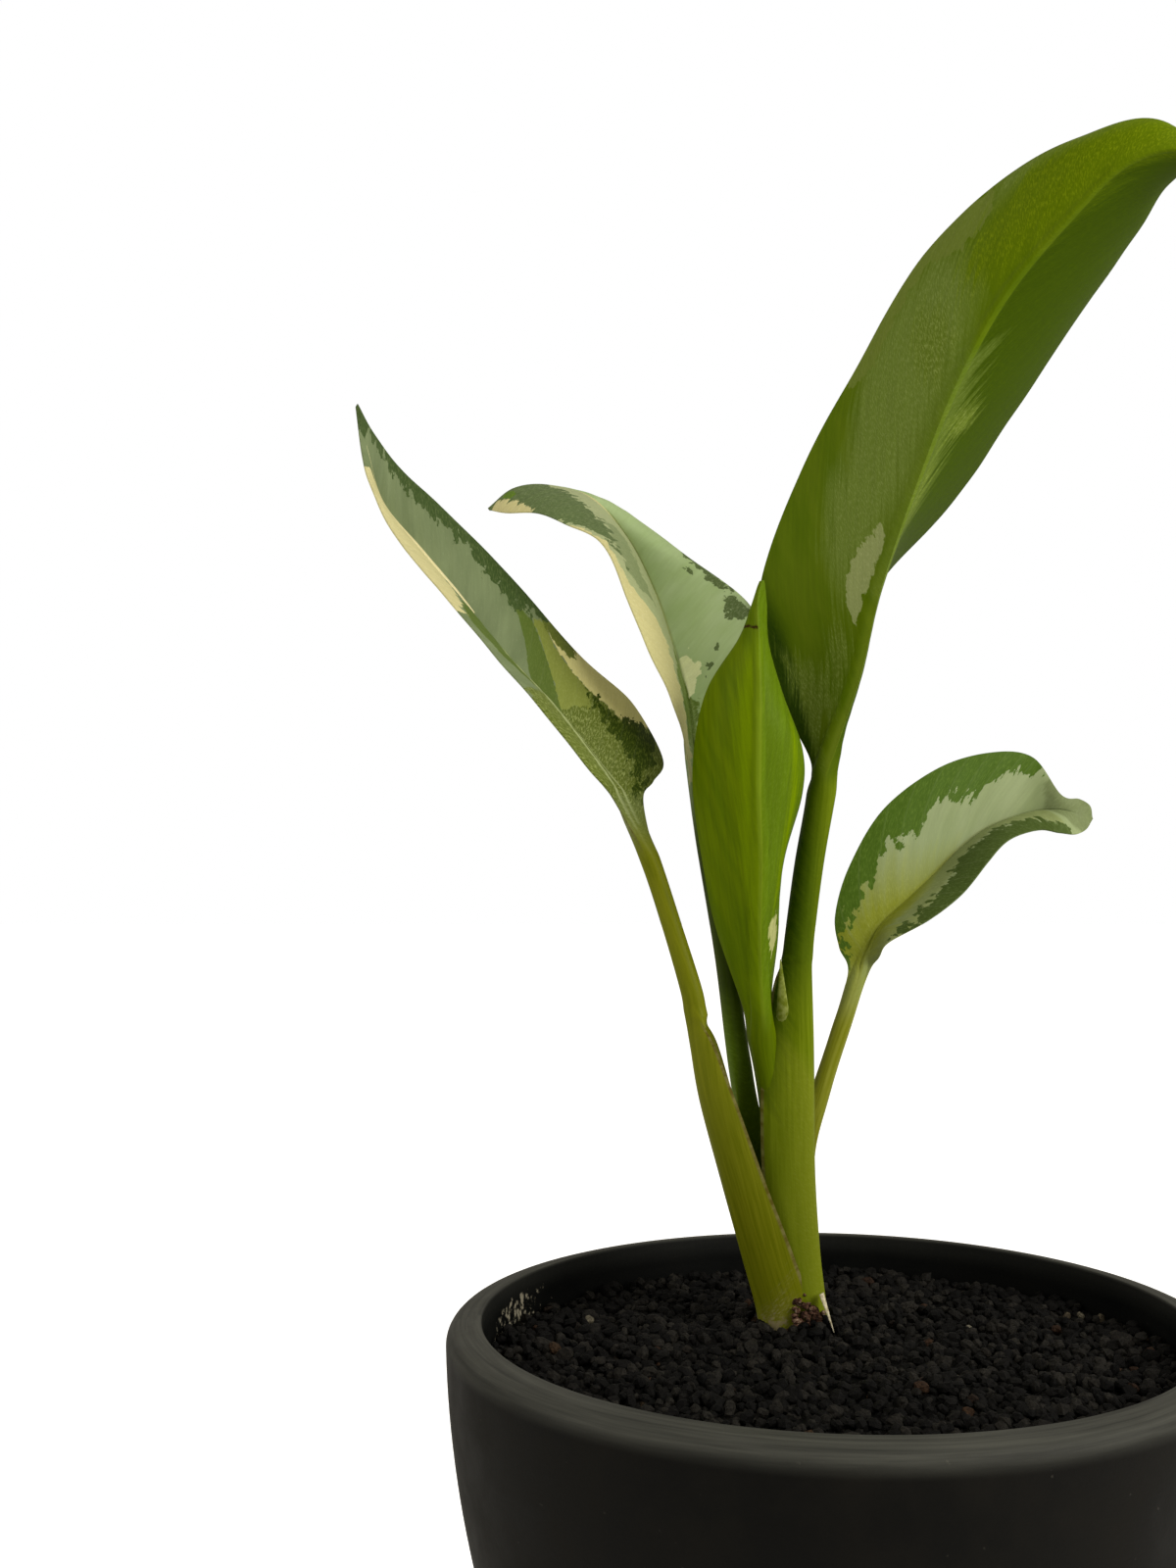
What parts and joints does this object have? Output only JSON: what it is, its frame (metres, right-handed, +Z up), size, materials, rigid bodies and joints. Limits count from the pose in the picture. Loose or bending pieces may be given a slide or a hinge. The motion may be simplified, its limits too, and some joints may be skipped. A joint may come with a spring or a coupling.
{
  "type": "potted suvarnabhumi aglaonema",
  "caption": "Young variegated aglaonema with arching leaves, upright in a bowl-tapered matte black pot filled with dark granules; free-standing house plant.",
  "frame": {"origin": "centre of the pot's flat base", "axes": "+Z up along the pot's axis; -Y towards the front, from where the new leaf stands before the others"},
  "size_m": [0.173, 0.1512, 0.3467],
  "materials": {
    "pot": "matte",
    "soil": "matte",
    "stem": "matte",
    "leaf_left": "satin",
    "leaf_back_left": "satin",
    "leaf_new": "satin",
    "leaf_large": "satin",
    "leaf_right": "satin"
  },
  "bodies": {
    "root": {"pot": "pot", "soil": "soil", "stem": "stem", "leaf_left": "leaf_left", "leaf_back_left": "leaf_back_left", "leaf_new": "leaf_new", "leaf_large": "leaf_large", "leaf_right": "leaf_right"}
  },
  "joints": []
}
